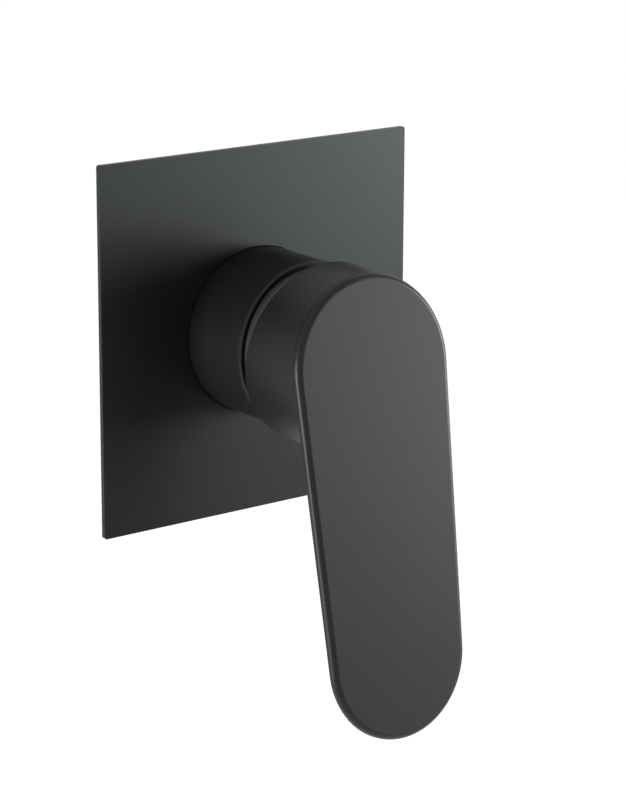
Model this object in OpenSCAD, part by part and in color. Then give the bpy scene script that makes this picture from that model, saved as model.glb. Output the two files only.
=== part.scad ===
// Concealed single-lever shower mixer with a square wall plate, in satin black.
// The visible side faces -Y and +Z is up. The origin is the centre of the body's back face,
// on the axis that the body, the cartridge, the cover sleeve and the plate share.
// Each piece is drawn on the bench: X right, Y up, and Z out of the wall from the body's back.

/* [Wall plate] */
// Side of the square plate
plate_size = 110; // [100:1:140]
// Thickness of the plate's sheet
plate_t = 1.5; // [1:0.1:3]
// Corner radius of the plate
plate_corner_r = 0.8; // [0.3:0.1:8]
// Thickness of the foam gasket behind the plate
gasket_t = 1.5; // [1:0.1:3]
// Width of the foam gasket's strip
gasket_w = 6; // [3:0.5:10]
// Distance from the plate's edge to the gasket
gasket_inset = 6; // [3:0.5:10]
// Depth of the collar bonded behind the plate's hole
collar_depth = 5.5; // [5:0.1:6]
// Width of the collar's ring round the sleeve
collar_w = 4.6; // [4:0.1:8]

/* [Cover sleeve] */
// Outer diameter of the cover sleeve
sleeve_d = 49.8; // [49:0.1:52]
// Wall of the cover sleeve
sleeve_wall = 1.6; // [1.2:0.1:2]
// How far the sleeve stands in front of the plate
sleeve_reach = 25.2; // [24:0.2:28]
// Chamfer on the sleeve's front edge
sleeve_chamfer = 0.6; // [0.2:0.1:0.8]
// Gap round the sleeve where it passes through the plate
sleeve_gap = 0.25; // [0.1:0.05:0.6]

/* [Lever handle] */
// Radius of the lever's round top
lever_top_r = 26.85; // [25:0.05:29]
// Radius of the lever's round bottom
lever_end_r = 23.8; // [16:0.1:24.5]
// Distance between the centres of the lever's two rounds
lever_run = 83.6; // [60:0.2:110]
// Thickness of the lever
lever_t = 2.8; // [2.6:0.1:4]
// Rounding of the lever's front edge
lever_front_r = 1.8; // [0.5:0.1:1.8]
// Rounding of the lever's back edge
lever_back_r = 0.5; // [0.2:0.1:0.6]
// Angle at which the lever's bottom leans out
lever_lean = 9; // [5:0.5:12]
// How far the lever's top centre lies below the axis
lever_drop = 0.7; // [0:0.1:2]
// Outer diameter of the hub behind the lever
hub_d = 53.4; // [53:0.1:56]
// Wall of the hollow hub
hub_wall = 2.2; // [1.8:0.1:2.6]
// Thickness of the casting between the lever's back and the hub's hollow
ceiling_t = 2.2; // [1.6:0.1:3]
// Angle at which the hub's axis points down with the lever closed
hub_dip = 4.5; // [3:0.5:6]
// Length of the hub on the axis, from its rim to the lever's back
hub_len = 22.3; // [20:0.1:28]
// Angle of the hub's rear rim, open at the top with the lever closed
rim_angle = 6.8; // [5:0.2:8]
// Gap on the axis between the sleeve's front edge and the hub's rim
rim_gap = 5.5; // [5:0.1:8]
// Largest angle that the lever lifts from closed
lift = 22; // [16:1:22]
// Largest angle that the lever turns each way from the middle
swing = 45; // [30:5:50]

/* [Cartridge] */
// Outer diameter of the cartridge
cartridge_d = 34.8; // [34:0.1:35.4]
// Thickness of the cartridge's base
base_t = 3.5; // [3:0.1:4.5]
// Thickness of the fixed ceramic disc
fixed_disc_t = 3.5; // [2.5:0.1:4.5]
// Thickness of the moving ceramic disc
moving_disc_t = 3; // [2.5:0.1:4]
// Diameter of the moving ceramic disc
moving_disc_d = 24; // [22:0.5:25]
// Diameter of the ball foot at the stem's inner end
stem_foot_d = 5.2; // [4.4:0.1:5.6]
// Distance from the pivot pin to the stem's ball foot
stem_foot_run = 7.5; // [7:0.1:8.5]
// Width across the flats of the stem's square
stem_square = 8; // [7:0.1:8.4]
// Length of the stem from the pivot pin to its tip
stem_len = 37; // [34:0.5:38]
// Diameter of the pivot pin
pin_d = 3; // [2.4:0.1:3.2]

/* [Body] */
// Diameter of the body's four port bosses
port_boss_d = 25; // [24.4:0.1:28]
// Distance between the faces of opposite ports
port_span = 56; // [54:0.5:64]
// Diameter of the threaded sockets' bore
port_bore_d = 18.6; // [17:0.1:19]
// Depth of the threaded sockets
socket_depth = 12; // [10:0.5:12.5]
// How far the port bosses stand off the body's back face
port_stand = 2; // [1.5:0.1:4]
// Distance between the fixing holes, both ways
fixing_pitch = 42; // [42:0.5:48]
// Diameter of the fixing holes
fixing_hole_d = 5.2; // [4.2:0.1:6]
// Thickness of the body's fixing foot
foot_t = 4; // [3:0.1:6]
// How far the cartridge seat lies behind the finished wall
seat_depth = 6; // [6:0.1:8]

/* [Small parts] */
// Thickness of the rubber rings that grip the sleeve
ring_t = 2.4; // [1.8:0.1:2.6]
// Diameter of the handle's grub screw
grub_d = 5; // [4:0.5:6]
// Length of the handle's grub screw
grub_len = 8; // [6:0.5:9]
// Wall of the plastic bush on the stem's square
bush_wall = 1; // [0.8:0.1:1.4]

/* [Hidden] */
$fn = 96;

// Clearances: play for what only fits in, turning for shafts, room for what passes by
play = 0.1;
turning = 0.05;
room = 0.3;
// A cutting tool runs past the surface that it opens
past = 1;
// A solid that joins another reaches this far into it
bite = 0.5;
// Half of a block larger than the handle, for flat cuts
block = 80;

// Colours of the pieces
satin_black = [0.09, 0.095, 0.1];
lever_black = [0.1, 0.105, 0.11];
rubber_black = [0.07, 0.07, 0.07];
foam_grey = [0.16, 0.16, 0.17];
brass = [0.72, 0.6, 0.34];
nickel = [0.75, 0.76, 0.77];
steel = [0.7, 0.71, 0.72];
fibre_red = [0.45, 0.16, 0.12];
stop_red = [0.75, 0.12, 0.1];
ceramic = [0.95, 0.95, 0.93];
housing_white = [0.85, 0.86, 0.86];
base_grey = [0.2, 0.21, 0.22];
guide_white = [0.88, 0.88, 0.84];

// Body: step behind the port collars, edges, boss, ears and how far the seat lies above the ports
port_collar_len = 9;
port_neck_step = 1.2;
port_chamfer = 0.8;
mouth_chamfer = 0.9;
ear_wall = 2.9;
ear_web_step = 1;
boss_waist = 1.2;
boss_chamfer = 0.6;
boss_room = 0.6;
seat_floor = 1.4;

// Places along the axis, from the body's back outwards
port_z = port_stand + port_boss_d / 2;
ports_top_z = port_stand + port_boss_d;
boss_back_z = ports_top_z - 0.9;
seat_z = boss_back_z + seat_floor;
wall_z = seat_z + seat_depth;
plate_back_z = wall_z + gasket_t;
plate_front_z = plate_back_z + plate_t;
sleeve_front_z = plate_front_z + sleeve_reach;
sleeve_back_z = ports_top_z + 1.5;
fixed_disc_z = seat_z + base_t;
moving_disc_z = fixed_disc_z + fixed_disc_t;
carrier_z = moving_disc_z + moving_disc_t;
foot_floor = room;
foot_z = carrier_z + foot_floor + room + stem_foot_d / 2;
carrier_t = foot_floor + room + stem_foot_d;
guide_z = carrier_z + carrier_t + room;
pivot_z = foot_z + stem_foot_run;
guide_flange_t = 3;
shoulder_t = 1.8;
shoulder_z = guide_z + guide_flange_t + 2 * play + shoulder_t;
nut_thread_len = 4.5;
boss_front_z = shoulder_z + nut_thread_len;
nut_flange_t = 4.5;
nut_front_z = boss_front_z + nut_flange_t;
rim_z = sleeve_front_z + rim_gap;
lever_back_z = rim_z + hub_len;

// Radii of the pieces round the axis
sleeve_r = sleeve_d / 2;
sleeve_bore_r = sleeve_r - sleeve_wall;
plate_hole_r = sleeve_r + sleeve_gap;
collar_r = plate_hole_r + collar_w;
boss_r = sleeve_bore_r - boss_room;
cartridge_r = cartridge_d / 2;
cartridge_bore_r = cartridge_r + 2 * play;
nut_thread_depth = 2;
nut_r = cartridge_bore_r + nut_thread_depth;
housing_shoulder_w = 4.4;
neck_r = cartridge_r - housing_shoulder_w;
neck_wall = 2.3;
guide_neck_r = neck_r - neck_wall;
housing_wall = 2;
housing_bore_r = cartridge_r - housing_wall;
guide_r = housing_bore_r - 4 * play;
carrier_half = moving_disc_d / 2;
pin_r = pin_d / 2;
port_boss_r = port_boss_d / 2;
port_bore_r = port_bore_d / 2;
port_face = port_span / 2;

// Grooves round the boss for the two rings that grip the sleeve
ring_heights = [sleeve_back_z + 5, boss_front_z - 6];

// Waterways: the ports of the seat, the drilled feeds and the link between the outlets
inlet_x = 6.5;
inlet_y = -5;
inlet_r = 3.6;
outlet_y = 8;
outlet_r = 4.2;
feed_r = 4;
feed_z = port_z + 3.5;
link_r = 3.4;
link_z = port_z - port_bore_r + link_r + 2 * play;
seat_ports = [[-inlet_x, inlet_y, inlet_r], [inlet_x, inlet_y, inlet_r], [0, outlet_y, outlet_r]];
seal_w = 1.5;
seal_t = 1.2;
peg_r = 1.8;
peg_len = 2.4;
peg_x = 12.5;
peg_y = 6;

// Plug of the spare outlet and its washer
plug_flange_t = 3.6;
plug_step = 1;
plug_chamfer = 0.6;
plug_short = 2;
plug_hex_d = 11.5;
plug_hex_depth = 6;
washer_t = 1.5;
washer_step = 1.4;

// Clips of the housing: the windows that the base's tongues snap into
window_w = 6;
window_h = 4;
window_rise = 2;

// Fixed disc: its ports lie nearer the middle and are smaller than those of the base
disc_pull = 0.85;
disc_port_step = 0.4;

// Mixing chamber in the underside of the moving disc
chamber_r = 7;
chamber_y = 1;
chamber_depth = 1.5;

// Stop of the turn: a lug on the guide in the gap of a ring, as half angles
limit_t = 2.5;
limit_z = boss_front_z - bite;
guide_top_z = limit_z + limit_t;
limit_rim = 1;
stop_half = 20;
stop_slack = 2;
lug_r = neck_r - limit_rim - 4 * play;

// Slot of the guide: room at the ends of the stem's tilt
slot_end_room = 0.8;
foot_room = 0.6;

// Stem: neck over the ball foot, eye for the pin, waist and square
stem_neck_d = 3.2;
eye_wall = 1.9;
eye_inset = 0.2;
waist_inset = 0.6;
waist_len = 7.5;

// The handle's inner parts, along the stem from the pivot pin
stem_dip = lift / 2;
socket_run = 23;
socket_wall = 1.4;
socket_half = stem_square / 2 + bush_wall + play;
socket_boss_r = socket_half * sqrt(2) + socket_wall;
socket_open = 10;
bush_inset = 1;
grub_run = socket_run + 6.5;
grub_boss_r = grub_d / 2 + 2.5;
grub_key_d = 2.9;
grub_key_depth = 2.5;
cap_start = stem_square / 2 + grub_len + 1;
cap_r = grub_d / 2 + 0.6;
hub_r = hub_d / 2;
hub_bore_r = hub_r - hub_wall;
hub_axis_rise = 0.2;
taper = asin((lever_top_r - lever_end_r) / lever_run);

// The cover over the cartridge, seen in the gap behind the hub
cover_r = sleeve_bore_r - 2 * play;
cover_wall = 1.4;
cover_shoulder_r = 3;
cover_stand = 4.8;
cover_back_z = boss_front_z + 1;
cover_front_z = sleeve_front_z + cover_stand;
cover_side_z = cover_front_z - cover_shoulder_r;
cover_bore_r = cover_r - cover_wall;
cover_hole_r = (cover_front_z - pivot_z) * tan(stem_dip) + stem_square / sqrt(2) + 1.6;

// Nut: round flange with spanner flats
nut_flange_r = cover_bore_r - play;
nut_corner_cut = 1.5;

// Turns a bench drawing to its place in front of the wall
module on_wall() {
    rotate([90, 0, 0])
        children();
}

// The frame of the stem: Z runs along it, from the pivot pin outwards
module on_stem() {
    translate([0, 0, pivot_z])
        rotate([stem_dip, 0, 0])
            children();
}

// The frame of the grub screw: Z runs down along it, from the stem's axis
module on_grub() {
    on_stem()
        translate([0, 0, grub_run])
            rotate([90, 0, 0])
                children();
}

// The frame of the hub: Z runs along its dipping axis, from the sleeve's front outwards
module on_hub() {
    translate([0, hub_axis_rise, sleeve_front_z])
        rotate([hub_dip, 0, 0])
            children();
}

// The frame of the lever: its back face is z = 0, its top centre is x = y = 0
module on_lever() {
    translate([0, -lever_drop, lever_back_z + lever_drop * tan(lever_lean)])
        rotate([-lever_lean, 0, 0])
            children();
}

// The frame of the port that points at angle a: Z runs out of the port, from the body's axis
module at_port(a) {
    rotate(a)
        translate([0, 0, port_z])
            rotate([0, 90, 0])
                children();
}

// Stands children at each corner of the fixing pattern
module at_fixings() {
    for (x = [-1, 1], y = [-1, 1])
        translate([x * fixing_pitch / 2, y * fixing_pitch / 2, 0])
            children();
}

// A round bar from height z
module bar(r, z, height) {
    translate([0, 0, z])
        cylinder(r = r, h = height);
}

// A cone from height z
module cone(r1, r2, z, height) {
    translate([0, 0, z])
        cylinder(r1 = r1, r2 = r2, h = height);
}

// A flat ring between two radii, from height z
module ring(inner, outer, z, height) {
    difference() {
        bar(outer, z, height);
        bar(inner, z - past, height + 2 * past);
    }
}

// The groove that holds a rubber ring at height z
module ring_groove(inner, outer, z) {
    ring(inner, outer, z - ring_t / 2 - play, ring_t + 2 * play);
}

// A round rubber ring lying flat at height z
module rubber_ring(middle_r, z) {
    translate([0, 0, z])
        rotate_extrude()
            translate([middle_r, 0])
                circle(d = ring_t, $fn = 32);
}

// A square with its corners rounded by circles
module rounded_square(side, r) {
    half = side / 2 - r;
    square([side, side - 2 * r], center = true);
    square([side - 2 * r, side], center = true);
    for (x = [-half, half], y = [-half, half])
        translate([x, y])
            circle(r, $fn = 48);
}

// A pie slice about the upward direction, half degrees to each side
module sector(r, half) {
    steps = 12;
    polygon(concat(
        [[0, 0]],
        [for (i = [0:steps])
            let (a = 90 - half + 2 * half * i / steps)
                [r * cos(a), r * sin(a)]]));
}

// Flat sheet with one hole for the sleeve
module escutcheon_plate() {
    color(satin_black)
        on_wall()
            difference() {
                translate([0, 0, plate_back_z])
                    linear_extrude(plate_t)
                        rounded_square(plate_size, plate_corner_r);
                bar(plate_hole_r, plate_back_z - past, plate_t + 2 * past);
            }
}

// Strip of closed foam that seals the plate to the tiles
module plate_gasket() {
    outer = plate_size - 2 * gasket_inset;
    inner = outer - 2 * gasket_w;
    color(foam_grey)
        on_wall()
            translate([0, 0, wall_z])
                linear_extrude(gasket_t)
                    difference() {
                        square(outer, center = true);
                        square(inner, center = true);
                    }
}

// Brass collar bonded to the plate, with a groove for the ring that grips the sleeve
module plate_collar() {
    color(brass)
        on_wall()
            difference() {
                ring(plate_hole_r, collar_r, plate_back_z - collar_depth, collar_depth);
                ring_groove(sleeve_r - past, sleeve_r + ring_t, plate_back_z - collar_depth / 2);
            }
}

// Rubber ring in the collar
module collar_ring() {
    color(rubber_black)
        on_wall()
            rubber_ring(sleeve_r + ring_t / 2, plate_back_z - collar_depth / 2);
}

// Turned tube that hides the body's boss
module cover_sleeve() {
    back_chamfer = sleeve_chamfer / 2;
    color(satin_black)
        on_wall()
            rotate_extrude()
                polygon([
                    [sleeve_bore_r, sleeve_back_z + sleeve_chamfer],
                    [sleeve_bore_r + sleeve_chamfer, sleeve_back_z],
                    [sleeve_r - back_chamfer, sleeve_back_z],
                    [sleeve_r, sleeve_back_z + back_chamfer],
                    [sleeve_r, sleeve_front_z - sleeve_chamfer],
                    [sleeve_r - sleeve_chamfer, sleeve_front_z],
                    [sleeve_bore_r, sleeve_front_z]]);
}

// Two rubber rings between the boss and the sleeve
module sleeve_rings() {
    color(rubber_black)
        on_wall()
            for (z = ring_heights)
                rubber_ring(sleeve_bore_r - ring_t / 2, z);
}

// One port boss: a neck from clear of its neighbours, and a collar with a chamfered face
module port_boss() {
    bar(port_boss_r - port_neck_step, port_boss_r, port_face - port_boss_r - port_chamfer);
    bar(port_boss_r, port_face - port_collar_len, port_collar_len - port_chamfer);
    cone(port_boss_r, port_boss_r - port_chamfer, port_face - port_chamfer, port_chamfer);
}

// The socket of one port with its chamfered mouth
module port_socket() {
    cone_len = mouth_chamfer + past;
    bar(port_bore_r, port_face - socket_depth, socket_depth + past);
    cone(port_bore_r, port_bore_r + cone_len, port_face - mouth_chamfer, cone_len);
}

// The foot with its four ears, each on a web a little narrower than itself
module fixing_foot() {
    ear_w = fixing_hole_d + 2 * ear_wall;
    linear_extrude(foot_t) {
        circle(boss_r);
        for (a = [45, 135])
            rotate(a)
                square([fixing_pitch * sqrt(2), ear_w - 2 * ear_web_step], center = true);
        at_fixings()
            circle(d = ear_w, $fn = 48);
    }
}

// Channels drilled between the sockets and the seat
module waterways() {
    inner = port_face - socket_depth;
    for (s = [-1, 1]) {
        translate([0, 0, feed_z])
            rotate([0, s * 90, 0])
                bar(feed_r, inlet_x, inner - inlet_x + past);
        translate([s * inlet_x, inlet_y, 0])
            bar(inlet_r, feed_z, seat_z - feed_z + past);
    }
    translate([0, 0, link_z])
        rotate([90, 0, 0])
            cylinder(r = link_r, h = 2 * (inner + past), center = true);
    translate([0, outlet_y, 0])
        bar(outlet_r, link_z, seat_z - link_z + past);
}

// The forging before it is machined: foot, waist, boss and four ports
module body_forging() {
    fixing_foot();
    bar(boss_r - boss_waist, 0, boss_back_z + bite);
    bar(boss_r, boss_back_z, boss_front_z - boss_chamfer - boss_back_z);
    cone(boss_r, boss_r - boss_chamfer, boss_front_z - boss_chamfer, boss_chamfer);
    for (a = [0:90:270])
        at_port(a)
            port_boss();
}

// Forged brass body: foot, four ports and the boss that holds the cartridge
module mixer_body() {
    color(brass)
        on_wall()
            difference() {
                body_forging();
                bar(cartridge_bore_r, seat_z, boss_front_z);
                bar(nut_r, shoulder_z - past, boss_front_z);
                for (a = [0:90:270])
                    at_port(a)
                        port_socket();
                waterways();
                for (z = ring_heights)
                    ring_groove(sleeve_bore_r - ring_t, boss_r + past, z);
                for (s = [-1, 1])
                    translate([s * peg_x, peg_y, 0])
                        bar(peg_r + 2 * play, seat_z - peg_len - 2 * play, peg_len + past);
                at_fixings()
                    bar(fixing_hole_d / 2, -past, foot_t + 2 * past);
            }
}

// Brass plug with a hexagon socket that closes the spare lower outlet
module outlet_plug() {
    flange_z = port_face + washer_t;
    face_z = flange_z + plug_flange_t;
    flange_r = port_boss_r - plug_step;
    color(nickel)
        on_wall()
            at_port(270)
                difference() {
                    union() {
                        bar(port_bore_r - play, port_face - socket_depth + plug_short,
                            socket_depth - plug_short + washer_t);
                        bar(flange_r, flange_z, plug_flange_t - plug_chamfer);
                        cone(flange_r, flange_r - plug_chamfer, face_z - plug_chamfer, plug_chamfer);
                    }
                    translate([0, 0, face_z - plug_hex_depth])
                        cylinder(d = plug_hex_d, h = plug_hex_depth + past, $fn = 6);
                }
}

// Fibre washer under the plug's flange
module plug_washer() {
    color(fibre_red)
        on_wall()
            at_port(270)
                ring(port_bore_r + 2 * play, port_boss_r - washer_step, port_face, washer_t);
}

// Moulded housing that the nut clamps down by its shoulder
module cartridge_housing() {
    color(housing_white)
        on_wall()
            difference() {
                union() {
                    bar(cartridge_r, fixed_disc_z, shoulder_z - fixed_disc_z);
                    bar(neck_r, shoulder_z, limit_z - shoulder_z);
                }
                bar(housing_bore_r, fixed_disc_z - past, shoulder_z - shoulder_t - fixed_disc_z + past);
                bar(guide_neck_r + turning, fixed_disc_z, boss_front_z);
                for (a = [0, 180])
                    rotate(a)
                        translate([housing_bore_r - bite, -window_w / 2, fixed_disc_z + window_rise])
                            cube([housing_wall + 2 * bite, window_w, window_h]);
            }
}

// Moulded base with three ports, and two pegs that find the holes in the seat
module cartridge_base() {
    color(base_grey)
        on_wall()
            difference() {
                union() {
                    bar(cartridge_r, seat_z, base_t);
                    for (s = [-1, 1])
                        translate([s * peg_x, peg_y, 0])
                            bar(peg_r, seat_z - peg_len, peg_len + bite);
                }
                for (p = seat_ports)
                    translate([p[0], p[1], 0]) {
                        bar(p[2], seat_z - past, base_t + 2 * past);
                        bar(p[2] + seal_w, seat_z - past, seal_t + past);
                    }
            }
}

// Three rubber seals between the base and the seat
module base_seals() {
    color(rubber_black)
        on_wall()
            for (p = seat_ports)
                translate([p[0], p[1], 0])
                    ring(p[2], p[2] + seal_w - play, seat_z, seal_t);
}

// Fixed ceramic disc with three ports
module fixed_disc() {
    color(ceramic)
        on_wall()
            difference() {
                bar(housing_bore_r - play, fixed_disc_z, fixed_disc_t);
                for (p = seat_ports)
                    translate([p[0] * disc_pull, p[1] * disc_pull, 0])
                        bar(p[2] - disc_port_step, fixed_disc_z - past, fixed_disc_t + 2 * past);
            }
}

// Brass nut that screws into the boss, with flats for a spanner
module cartridge_nut() {
    color(brass)
        on_wall()
            difference() {
                union() {
                    bar(nut_r - play, shoulder_z, nut_thread_len);
                    intersection() {
                        bar(nut_flange_r, boss_front_z, nut_flange_t);
                        translate([0, 0, boss_front_z])
                            cylinder(r = nut_flange_r + nut_corner_cut, h = nut_flange_t, $fn = 6);
                    }
                }
                bar(neck_r + room, shoulder_z - past, nut_front_z);
            }
}

// Plastic ring whose gap stops the guide's lug at both ends of the turn
module limit_ring() {
    color(stop_red)
        on_wall()
            difference() {
                ring(guide_neck_r + room, neck_r, limit_z, limit_t);
                translate([0, 0, limit_z - past])
                    linear_extrude(limit_t + 2 * past)
                        sector(neck_r - limit_rim, swing + stop_half + stop_slack);
            }
}

// Black cover that hides the nut in the gap behind the hub
module cartridge_cover() {
    color(satin_black)
        on_wall()
            difference() {
                rotate_extrude() {
                    translate([0, cover_back_z])
                        square([cover_r, cover_side_z - cover_back_z]);
                    translate([0, cover_side_z])
                        square([cover_r - cover_shoulder_r, cover_shoulder_r]);
                    translate([cover_r - cover_shoulder_r, cover_side_z])
                        intersection() {
                            circle(cover_shoulder_r, $fn = 64);
                            square(cover_shoulder_r);
                        }
                }
                bar(cover_bore_r, boss_front_z, cover_side_z - boss_front_z);
                bar(cover_r - cover_shoulder_r, boss_front_z, cover_front_z - cover_wall - boss_front_z);
                bar(cover_hole_r, boss_front_z, cover_front_z);
            }
}

// The guide's lower half: two rails on each side of the carrier's track
module guide_rails() {
    rail_z = moving_disc_z + room;
    track_half = carrier_half + room;
    difference() {
        bar(guide_r, rail_z, guide_z - rail_z);
        translate([-track_half, -guide_r - past, rail_z - past])
            cube([2 * track_half, 2 * (guide_r + past), guide_z - rail_z + 2 * past]);
    }
}

// Plastic guide that turns in the housing and carries the pivot pin
module rotating_guide() {
    slot_half = stem_square / 2 + room;
    slot_run = (guide_top_z - pivot_z) * tan(stem_dip) + stem_square / 2 + slot_end_room;
    foot_hole_r = stem_foot_run * sin(stem_dip) + stem_foot_d / 2 + foot_room;
    color(guide_white)
        on_wall()
            difference() {
                union() {
                    guide_rails();
                    bar(guide_r, guide_z, guide_flange_t);
                    bar(guide_neck_r, guide_z, guide_top_z - guide_z);
                    intersection() {
                        bar(lug_r, limit_z, limit_t);
                        translate([0, 0, limit_z])
                            linear_extrude(limit_t)
                                sector(neck_r, stop_half);
                    }
                }
                translate([-slot_half, -slot_run, guide_z - past])
                    cube([2 * slot_half, 2 * slot_run, guide_top_z - guide_z + 2 * past]);
                bar(foot_hole_r, guide_z - past, guide_flange_t + past);
                translate([0, 0, pivot_z])
                    rotate([0, 90, 0])
                        cylinder(r = pin_r, h = 2 * (guide_neck_r + past), center = true);
            }
}

// Steel pin on which the stem tilts
module pivot_pin() {
    color(steel)
        on_wall()
            translate([0, 0, pivot_z])
                rotate([0, 90, 0])
                    cylinder(r = pin_r, h = 2 * (guide_neck_r - bite), center = true);
}

// Height of the stem's foot, and so of the carrier and disc, with the lever closed
foot_y = stem_foot_run * sin(stem_dip);

// Plastic carrier that the stem's foot pushes up and down between the guide's rails
module disc_carrier() {
    track = moving_disc_d - 2 * play;
    color(guide_white)
        on_wall()
            translate([0, foot_y, 0])
                difference() {
                    intersection() {
                        bar(carrier_half, carrier_z, carrier_t);
                        translate([-track / 2, -moving_disc_d, carrier_z])
                            cube([track, 2 * moving_disc_d, carrier_t]);
                    }
                    bar(stem_foot_d / 2 + room, carrier_z + foot_floor, carrier_t);
                }
}

// Moving ceramic disc with the mixing chamber in its underside
module moving_disc() {
    color(ceramic)
        on_wall()
            translate([0, foot_y, 0])
                difference() {
                    bar(carrier_half, moving_disc_z, moving_disc_t);
                    translate([0, chamber_y, 0])
                        bar(chamber_r, moving_disc_z - past, chamber_depth + past);
                }
}

// Steel stem: ball foot, eye for the pin, and the square that the handle sits on
module control_stem() {
    half = stem_square / 2;
    color(steel)
        on_wall()
            on_stem()
                difference() {
                    union() {
                        translate([0, 0, -stem_foot_run])
                            sphere(d = stem_foot_d, $fn = 48);
                        bar(stem_neck_d / 2, -stem_foot_run, stem_foot_run);
                        rotate([0, 90, 0])
                            cylinder(r = pin_r + eye_wall, h = stem_square - 2 * eye_inset, center = true);
                        translate([eye_inset - half, waist_inset - half, 0])
                            cube([stem_square - 2 * eye_inset, stem_square - 2 * waist_inset, waist_len + bite]);
                        translate([-half, -half, waist_len])
                            cube([stem_square, stem_square, stem_len - waist_len]);
                    }
                    rotate([0, 90, 0])
                        cylinder(r = pin_r + turning, h = 2 * stem_square, center = true);
                }
}

// Square plastic bush between the stem and the handle, open for the grub screw
module stem_bush() {
    outer = stem_square + 2 * bush_wall;
    inner = stem_square + 2 * play;
    color(guide_white)
        on_wall()
            difference() {
                on_stem()
                    difference() {
                        translate([-outer / 2, -outer / 2, socket_run + bush_inset])
                            cube([outer, outer, stem_len - socket_run - bush_inset]);
                        translate([-inner / 2, -inner / 2, socket_run])
                            cube([inner, inner, stem_len]);
                    }
                on_grub()
                    bar(grub_d / 2 + 2 * play, 0, outer);
            }
}

// Half of the lever's cross-section, out to the given reach: x outwards, y from back to front
module lever_section(reach) {
    square([reach - lever_front_r, lever_t]);
    translate([0, lever_back_r])
        square([reach, lever_t - lever_front_r - lever_back_r]);
    square([reach - lever_back_r, lever_t - lever_front_r]);
    intersection() {
        translate([reach - lever_front_r, lever_t - lever_front_r])
            circle(lever_front_r, $fn = 64);
        square([reach + past, lever_t + past]);
    }
    translate([reach - lever_back_r, lever_back_r])
        circle(lever_back_r, $fn = 48);
}

// The flat tapered lever: two rounds joined by straight sides, all with one edge section
module lever_plate() {
    rotate_extrude($fn = 180)
        lever_section(lever_top_r);
    translate([0, -lever_run, 0])
        rotate_extrude($fn = 180)
            lever_section(lever_end_r);
    for (s = [0, 1])
        mirror([s, 0, 0])
            rotate([90, 0, -taper])
                linear_extrude(lever_run * cos(taper))
                    lever_section(lever_top_r);
}

// A round bar on the hub's dipping axis, longer than the handle
module hub_rod(r) {
    on_hub()
        translate([0, 0, -block / 2])
            cylinder(r = r, h = 2 * block, $fn = 180);
}

// All that lies outwards of a plane parallel to the lever's back
module beyond_lever(z) {
    on_lever()
        translate([-block, -2 * block, z])
            cube([2 * block, 3 * block, 2 * block]);
}

// The outside of the hub, from its slanting rim to inside the lever
module hub_outside() {
    difference() {
        hub_rod(hub_r);
        translate([0, 0, rim_z])
            rotate([rim_angle, 0, 0])
                translate([-block, -block, -2 * block])
                    cube([2 * block, 2 * block, 2 * block]);
        beyond_lever(lever_t / 3);
    }
}

// The hollow in the hub, up to its ceiling and round the bosses for the stem and the screw
module hub_hollow() {
    difference() {
        hub_rod(hub_bore_r);
        beyond_lever(-ceiling_t);
        on_stem()
            bar(socket_boss_r, socket_run, block);
        on_grub()
            bar(grub_boss_r, 0, block);
    }
}

// Lever and hub cast in one piece, hollow behind, with a boss for the stem's square
module lever_handle() {
    color(lever_black)
        on_wall()
            difference() {
                union() {
                    on_lever()
                        lever_plate();
                    hub_outside();
                }
                hub_hollow();
                on_stem()
                    translate([-socket_half, -socket_half, socket_run - socket_open])
                        cube([2 * socket_half, 2 * socket_half, stem_len - socket_run + socket_open + bite]);
                on_grub() {
                    bar(grub_d / 2, 0, block);
                    bar(cap_r + play, cap_start, block);
                }
            }
}

// Steel screw that grips the stem from below
module grub_screw() {
    start = stem_square / 2;
    color(steel)
        on_wall()
            on_grub()
                difference() {
                    bar((grub_d - play) / 2, start, grub_len);
                    translate([0, 0, start + grub_len - grub_key_depth])
                        cylinder(d = grub_key_d, h = grub_key_depth + past, $fn = 6);
                }
}

// Black plug flush with the hub's underside, over the grub screw
module screw_plug() {
    color(rubber_black)
        on_wall()
            intersection() {
                on_grub()
                    bar(cap_r, cap_start + play, block);
                hub_outside();
            }
}

escutcheon_plate();
plate_gasket();
plate_collar();
collar_ring();
cover_sleeve();
sleeve_rings();
mixer_body();
outlet_plug();
plug_washer();
cartridge_housing();
cartridge_base();
base_seals();
fixed_disc();
cartridge_nut();
limit_ring();
cartridge_cover();
rotating_guide();
pivot_pin();
disc_carrier();
moving_disc();
control_stem();
stem_bush();
lever_handle();
grub_screw();
screw_plug();
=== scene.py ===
import math

import bpy
from mathutils import Matrix, Vector


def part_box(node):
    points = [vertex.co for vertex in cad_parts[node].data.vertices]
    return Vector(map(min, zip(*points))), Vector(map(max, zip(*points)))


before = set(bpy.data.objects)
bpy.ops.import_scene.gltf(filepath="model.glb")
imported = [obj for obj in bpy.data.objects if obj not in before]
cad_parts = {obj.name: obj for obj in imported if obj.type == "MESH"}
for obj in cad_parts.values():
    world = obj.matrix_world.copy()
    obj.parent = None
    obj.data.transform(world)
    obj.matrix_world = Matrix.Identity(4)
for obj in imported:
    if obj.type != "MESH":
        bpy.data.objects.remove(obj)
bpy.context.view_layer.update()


# The mixer body is a hot brass forging. Its boss, port faces and back are machined bright,
# and the rest keeps the darker blasted skin of the forging, mottled in patches.
# It is screwed to a board inside the wall by its four ears.

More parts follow.
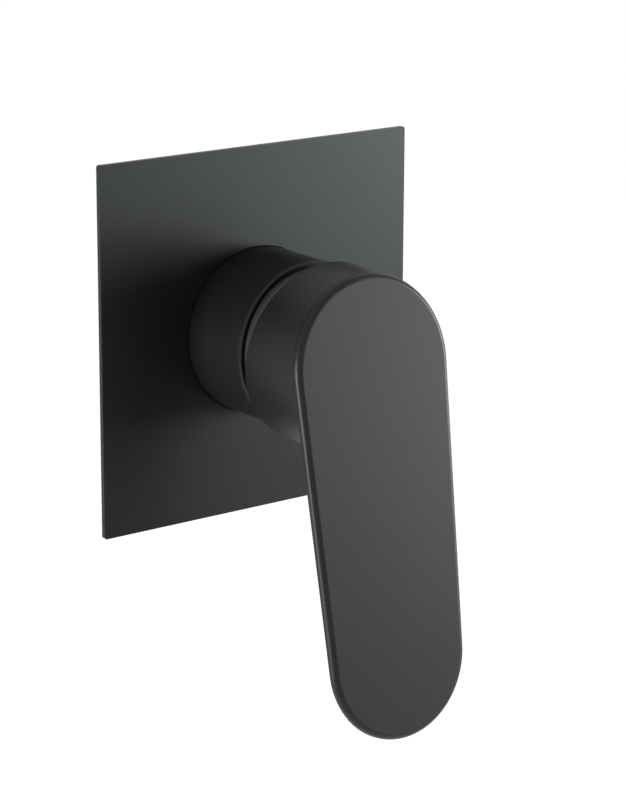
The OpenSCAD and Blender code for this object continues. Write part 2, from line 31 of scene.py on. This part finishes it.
class Wire:
    """A socket of a finish. Arithmetic on wires adds Math nodes, and add() any other node."""

    def __init__(self, tree, socket=None):
        self.tree = tree
        self.socket = socket

    def add(self, kind, inputs=None, output=0, stops=None, **settings):
        made = self.tree.nodes.new("ShaderNode" + kind)
        for name, value in settings.items():
            setattr(made, name, value)
        if stops:
            ramp = made.color_ramp.elements
            while len(ramp) < len(stops):
                ramp.new(1.0)
            for element, (place, shade) in zip(ramp, stops):
                element.position = place
                element.color = (shade, shade, shade, 1.0)
        for key, value in (inputs or {}).items():
            if isinstance(value, Wire):
                self.tree.links.new(value.socket, made.inputs[key])
            else:
                made.inputs[key].default_value = value
        return Wire(self.tree, made.outputs[output])

    def math(self, operation, *values):
        return self.add("Math", dict(enumerate(values)), operation=operation)

    def __add__(self, other):
        return self.math("ADD", self, other)

    def __sub__(self, other):
        return self.math("SUBTRACT", self, other)

    def __rsub__(self, other):
        return self.math("SUBTRACT", other, self)

    def __mul__(self, other):
        return self.math("MULTIPLY", self, other)

    __radd__ = __add__
    __rmul__ = __mul__

    def above(self, level, soft):
        """1 where the wire is above a level, 0 below it, with a soft step between."""
        places = {0: self, 1: level - soft, 2: level + soft}
        return self.add("MapRange", places, interpolation_type="SMOOTHSTEP")

    def tint(self, low, high):
        """A colour between two colours, by this wire."""
        colours = {0: self, 6: (*low, 1.0), 7: (*high, 1.0)}
        return self.add("Mix", colours, output=2, data_type="RGBA")

    def over(self, low, high):
        """One wire's colour or another's, by this wire."""
        return self.add("Mix", {0: self, 6: low, 7: high}, output=2, data_type="RGBA")


def new_finish(name):
    """An empty material, the wire that starts its nodes and the piece's own coordinates."""
    material = bpy.data.materials.new(name)
    material.use_nodes = True
    start = Wire(material.node_tree)
    place = start.add("TexCoord", output=3)
    return material, start, place


def coat(material, varying, bump=None, depth=0.0, **fixed):
    """Sets the shader: what varies over the surface, its relief in metres, and single values."""
    shader = material.node_tree.nodes["Principled BSDF"]
    links = material.node_tree.links
    for name, value in fixed.items():
        shader.inputs[name.replace("_", " ")].default_value = value
    for name, wire in varying.items():
        links.new(wire.socket, shader.inputs[name])
    if bump:
        relief = bump.add("Bump", {"Height": bump, "Distance": depth, "Strength": 1.0})
        links.new(relief.socket, shader.inputs["Normal"])
    return material


def grain(place, size, detail=2.0, roughness=0.5):
    """Noise with grains of a size in metres."""
    settings = {"Vector": place, "Scale": 1.0 / size, "Detail": detail, "Roughness": roughness}
    return place.add("TexNoise", settings)


def axes(place):
    """The three coordinates of a place, each as a wire."""
    return [place.add("SeparateXYZ", {0: place}, output=i) for i in range(3)]


def dress(material, *nodes):
    """Gives CAD nodes a finish."""
    for name in nodes:
        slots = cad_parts[name].data.materials
        slots.clear()
        slots.append(material)


def brass_body():
    material, start, place = new_finish("forged_brass")
    x, y, z = axes(place)
    boss_back = 0.0262
    port_face = 0.0271
    sideways = x.math("ABSOLUTE", x).math("MAXIMUM", x.math("ABSOLUTE", x), z.math("ABSOLUTE", z))
    faced = sideways.above(port_face, 0.0001)
    turned = (0.0 - y).above(boss_back, 0.0001)
    back = y.above(-0.0001, 0.00005)
    machined = faced.math("MAXIMUM", faced, turned.math("MAXIMUM", turned, back))
    blasted = grain(place, 0.0006, 3.0)
    patches = grain(place, 0.012, 3.0)
    rings = grain(place.add("Mapping", {0: place, 3: (1.0, 60.0, 1.0)}), 0.004, 2.0)
    skin = patches.tint((0.33, 0.215, 0.085), (0.47, 0.325, 0.135))
    bright = rings.tint((0.62, 0.46, 0.19), (0.74, 0.57, 0.26))
    colour = machined.over(skin, bright)
    rough = 0.5 - machined * 0.24 + blasted * 0.12
    relief = blasted * (1.0 - machined) + rings * machined * 0.25
    return coat(material, {"Base Color": colour, "Roughness": rough}, relief, 0.00012, Metallic=1.0)


dress(brass_body(), "mixer_body")


# The outlet plug is turned brass, nickel plated, with a hexagon socket. It closes the spare
# lower outlet on a red fibre washer.

def nickel_plate():
    material, start, place = new_finish("nickel_plate")
    lathe = grain(place.add("Mapping", {0: place, 3: (1.0, 1.0, 40.0)}), 0.003, 2.0)
    haze = grain(place, 0.006, 2.0)
    colour = haze.tint((0.56, 0.54, 0.5), (0.68, 0.66, 0.62))
    rough = 0.2 + haze * 0.14
    return coat(material, {"Base Color": colour, "Roughness": rough}, lathe, 0.00002, Metallic=1.0)


def pressed_fibre():
    material, start, place = new_finish("pressed_fibre")
    flecks = grain(place, 0.0004, 4.0, 0.7)
    colour = flecks.tint((0.2, 0.045, 0.03), (0.36, 0.1, 0.07))
    return coat(material, {"Base Color": colour}, flecks, 0.00006, Roughness=0.85)


dress(nickel_plate(), "outlet_plug")
dress(pressed_fibre(), "plug_washer")


# The cartridge: moulded housing, base, guide and carrier, two lapped ceramic discs, a red
# stop ring, and rubber seals. The brass nut clamps it into the boss.

def moulded(name, low, high, rough):
    """Moulded plastic with a fine spark-eroded texture."""
    material, start, place = new_finish(name)
    texture = grain(place, 0.0003, 2.0)
    shade = grain(place, 0.008, 2.0)
    roughness = rough + texture * 0.1
    return coat(material, {"Base Color": shade.tint(low, high), "Roughness": roughness},
                texture, 0.00002)


def lapped_ceramic():
    material, start, place = new_finish("lapped_ceramic")
    speck = grain(place, 0.0002, 2.0)
    colour = speck.tint((0.8, 0.79, 0.75), (0.9, 0.89, 0.86))
    return coat(material, {"Base Color": colour, "Roughness": 0.12 + speck * 0.1}, speck, 0.000003)


def soft_rubber(name, low, high, size, depth):
    """Black rubber or foam, with pores of a size in metres."""
    material, start, place = new_finish(name)
    pores = grain(place, size, 3.0, 0.6)
    return coat(material, {"Base Color": pores.tint(low, high), "Roughness": 0.7 + pores * 0.2},
                pores, depth)


def turned_metal(name, low, high, rough, along):
    """Metal with fine lathe rings; along is the direction of its axis."""
    material, start, place = new_finish(name)
    stretch = tuple(50.0 if a else 1.0 for a in along)
    rings = grain(place.add("Mapping", {0: place, 3: stretch}), 0.004, 2.0)
    colour = rings.tint(low, high)
    roughness = rough + rings * 0.12
    return coat(material, {"Base Color": colour, "Roughness": roughness}, rings, 0.00002, Metallic=1.0)


rubber = soft_rubber("moulded_rubber", (0.012, 0.012, 0.012), (0.022, 0.022, 0.022), 0.0005, 0.00002)
brass = turned_metal("turned_brass", (0.6, 0.44, 0.18), (0.74, 0.57, 0.26), 0.2, (0, 1, 0))
steel = turned_metal("turned_steel", (0.5, 0.5, 0.5), (0.63, 0.63, 0.62), 0.2, (0, 1, 0))
dress(moulded("housing_plastic", (0.56, 0.57, 0.56), (0.64, 0.65, 0.63), 0.4),
      "cartridge_housing", "rotating_guide", "disc_carrier")
dress(moulded("base_plastic", (0.04, 0.044, 0.048), (0.06, 0.065, 0.07), 0.4), "cartridge_base")
dress(moulded("stop_plastic", (0.42, 0.02, 0.016), (0.55, 0.035, 0.03), 0.35), "limit_ring")
dress(moulded("bush_plastic", (0.7, 0.7, 0.67), (0.8, 0.8, 0.77), 0.4), "stem_bush")
dress(lapped_ceramic(), "fixed_disc", "moving_disc")
dress(rubber, "base_seals", "sleeve_rings", "collar_ring")
dress(brass, "cartridge_nut", "plate_collar")
dress(steel, "control_stem", "pivot_pin", "grub_screw")


# The gasket is a strip of closed-cell foam stuck behind the plate.
# It seals the plate to the tiles.

dress(soft_rubber("cell_foam", (0.035, 0.035, 0.038), (0.08, 0.08, 0.085), 0.0007, 0.0001),
      "plate_gasket")


# The plate, the sleeve and the handle share one satin black coat, and the cover is moulded black plastic.
# The coat is sprayed
# and baked: a fine orange peel, even in colour, with a soft sheen.

def satin_black(name, low, high, rough, sheen, tint):
    """The baked black coat; sheen is how strongly its surface mirrors, and tint its cast."""
    material, start, place = new_finish(name)
    peel = grain(place, 0.0009, 2.0)
    cloud = grain(place, 0.02, 2.0)
    roughness = rough + peel * 0.03 + cloud * 0.03
    return coat(material, {"Base Color": cloud.tint(low, high), "Roughness": roughness},
                peel, 0.000006, Specular_IOR_Level=sheen, Specular_Tint=(*tint, 1.0))


black_low = (0.0072, 0.0079, 0.0086)
black_high = (0.0088, 0.0096, 0.0104)
cool = (0.91, 0.99, 1.0)
faintly_cool = (0.94, 0.97, 1.0)
plate_black = satin_black("plate_black", black_low, black_high, 0.35, 0.25, cool)
sleeve_black = satin_black("sleeve_black", black_low, black_high, 0.35, 0.25, cool)
lever_black = satin_black("lever_black", black_low, black_high, 0.35, 0.235, faintly_cool)
# The cover's black plastic is painted lighter than its own colour. This is painted light for the narrow gap
# between the sleeve and the hub, where the cover lies in shade.
cover_black = moulded("cover_black", (0.02, 0.021, 0.022), (0.026, 0.027, 0.028), 0.4)
dress(plate_black, "escutcheon_plate")
dress(sleeve_black, "cover_sleeve")
dress(cover_black, "cartridge_cover", "screw_plug")
dress(lever_black, "lever_handle")


# The studio: a pale floor well below the mixer, a white surround, and three soft lamps: two
# at the right front, and one square from the left, which draws the lever's edge.

def studio_light(name, place, aim, width, height, power):
    lamp = bpy.data.lights.new(name, "AREA")
    lamp.shape = "RECTANGLE"
    lamp.size = width
    lamp.size_y = height
    lamp.energy = power
    stand = bpy.data.objects.new(name, lamp)
    bpy.context.scene.collection.objects.link(stand)
    stand.location = place
    stand.rotation_mode = "QUATERNION"
    stand.rotation_quaternion = (Vector(aim) - Vector(place)).to_track_quat("-Z", "Y")
    stand.visible_camera = False
    return stand


def seen(start):
    """1 for what the lens sees, straight or in a reflection, and 0 for light that falls."""
    path = {name: start.add("LightPath", output=name) for name in
            ("Is Camera Ray", "Is Glossy Ray", "Is Transmission Ray")}
    straight, mirrored, through = path.values()
    return straight.math("MAXIMUM", straight, mirrored.math("MAXIMUM", mirrored, through))


fill = 0.2
world = bpy.data.worlds.new("studio")
world.use_nodes = True
bpy.context.scene.world = world
surround = world.node_tree.nodes["Background"]
surround.inputs["Color"].default_value = (1.0, 1.0, 1.0, 1.0)
strength = fill + seen(Wire(world.node_tree)) * (1.0 - fill)
world.node_tree.links.new(strength.socket, surround.inputs["Strength"])

floor_z = -0.45
floor_half = 6.0
bpy.ops.mesh.primitive_plane_add(size=2 * floor_half, location=(0.0, 0.0, floor_z))
floor = bpy.context.object
floor.name = "floor"
floor_paint, start, place = new_finish("floor_paint")
coat(floor_paint, {"Base Color": grain(place, 0.3).tint((0.8, 0.8, 0.8), (0.82, 0.82, 0.82))},
     Roughness=0.9, Specular_IOR_Level=0.0)
shader = floor_paint.node_tree.nodes["Principled BSDF"]
shader.inputs["Emission Color"].default_value = (1.0, 1.0, 1.0, 1.0)
floor_glow = 0.85
floor_paint.node_tree.links.new((seen(start) * floor_glow).socket, shader.inputs["Emission Strength"])
floor.data.materials.append(floor_paint)

middle = (0.01, -0.07, -0.03)
softbox = 0.32
studio_light("right", (0.732, -0.407, 0.040), middle, softbox, softbox, 4.5)
studio_light("front", (0.622, -0.584, -0.002), middle, softbox, softbox, 2.8)
studio_light("left", (-0.784, -0.001, -0.100), middle, softbox, softbox, 6.2)


# The camera stands at the left front, a little above, and rolls by a quarter of a degree.

side = math.radians(37.215)
height = math.radians(15.325)
roll = math.radians(0.225)
distance = 0.8659
plate_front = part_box("escutcheon_plate")[0].y
target = Vector((0.02056, plate_front, -0.02519))
back = Vector((-math.sin(side) * math.cos(height), -math.cos(side) * math.cos(height), math.sin(height)))
lens = bpy.data.cameras.new("camera")
lens.lens = 128.75
lens.sensor_width = 36.0
lens.clip_start = 0.05
lens.clip_end = 50.0
camera = bpy.data.objects.new("camera", lens)
bpy.context.scene.collection.objects.link(camera)
camera.location = target + back * distance
camera.rotation_mode = "QUATERNION"
camera.rotation_quaternion = (-back).to_track_quat("-Z", "Y") @ Matrix.Rotation(roll, 3, "Z").to_quaternion()
bpy.context.scene.camera = camera
bpy.context.scene.view_settings.view_transform = "Standard"
